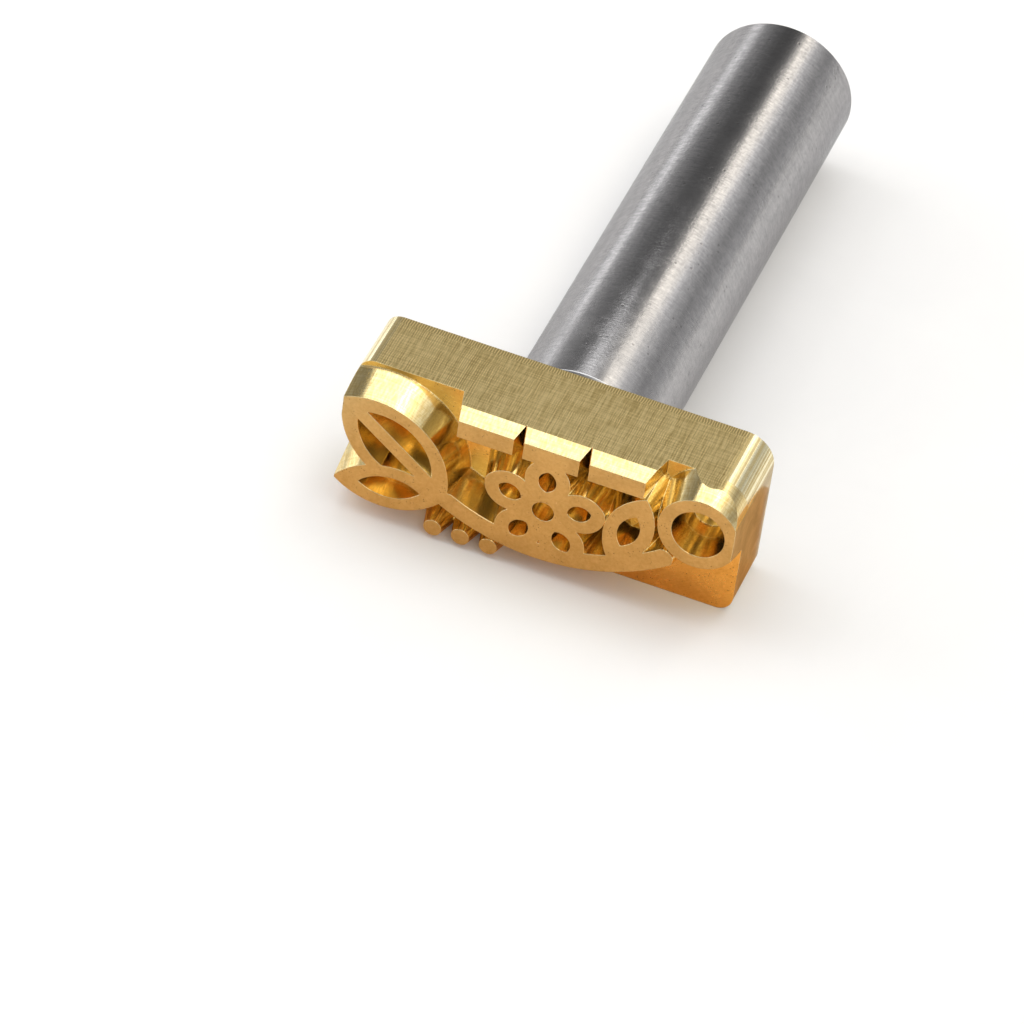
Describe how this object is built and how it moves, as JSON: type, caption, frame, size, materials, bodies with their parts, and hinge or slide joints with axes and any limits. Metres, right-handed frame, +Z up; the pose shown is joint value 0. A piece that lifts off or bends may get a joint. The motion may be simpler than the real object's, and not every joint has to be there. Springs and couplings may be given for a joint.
{
  "type": "leather stamping tool",
  "caption": "Hand stamp for leather: milled brass die with a raised leaf, blossom and bud ornament, screwed by a headless stud to a round steel handle that is struck or pressed.",
  "frame": {"origin": "on the surface the tool lies on, under its middle: midway along its length, the die's width and on the underside of the die", "axes": "+Y along the handle from the stamping face to the struck end, +X along the die's length (to the right when the face is looked at), +Z up, through the die's thickness"},
  "size_m": [0.0306, 0.0566, 0.0123],
  "materials": {
    "die_brass": "milled brass: sides with fine cutter lines along the handle and a cross grain, flat satin face, shiny drafted walls",
    "handle_steel": "bright drawn steel bar, smooth, with fine round scratches and a few nicks",
    "stud_steel": "plain machined steel thread"
  },
  "bodies": {
    "die": {"stamp_die": "die_brass"},
    "stud": {"joining_stud": "stud_steel"},
    "handle": {"handle": "handle_steel"}
  },
  "joints": [
    {"name": "stud_travel", "type": "slide", "parent": "die", "child": "stud", "axis": [0, 1, 0], "range_m": [0, 0.0045]},
    {"name": "handle_turn", "type": "hinge", "parent": "stud", "child": "handle", "pos_m": [0, 0, 0.00615], "axis": [0, 1, 0], "range_deg": [0, 1620]}
  ],
  "couplings": [
    {"joint": "handle_turn", "follows": "stud_travel", "rad_per_m": 6283.2}
  ]
}
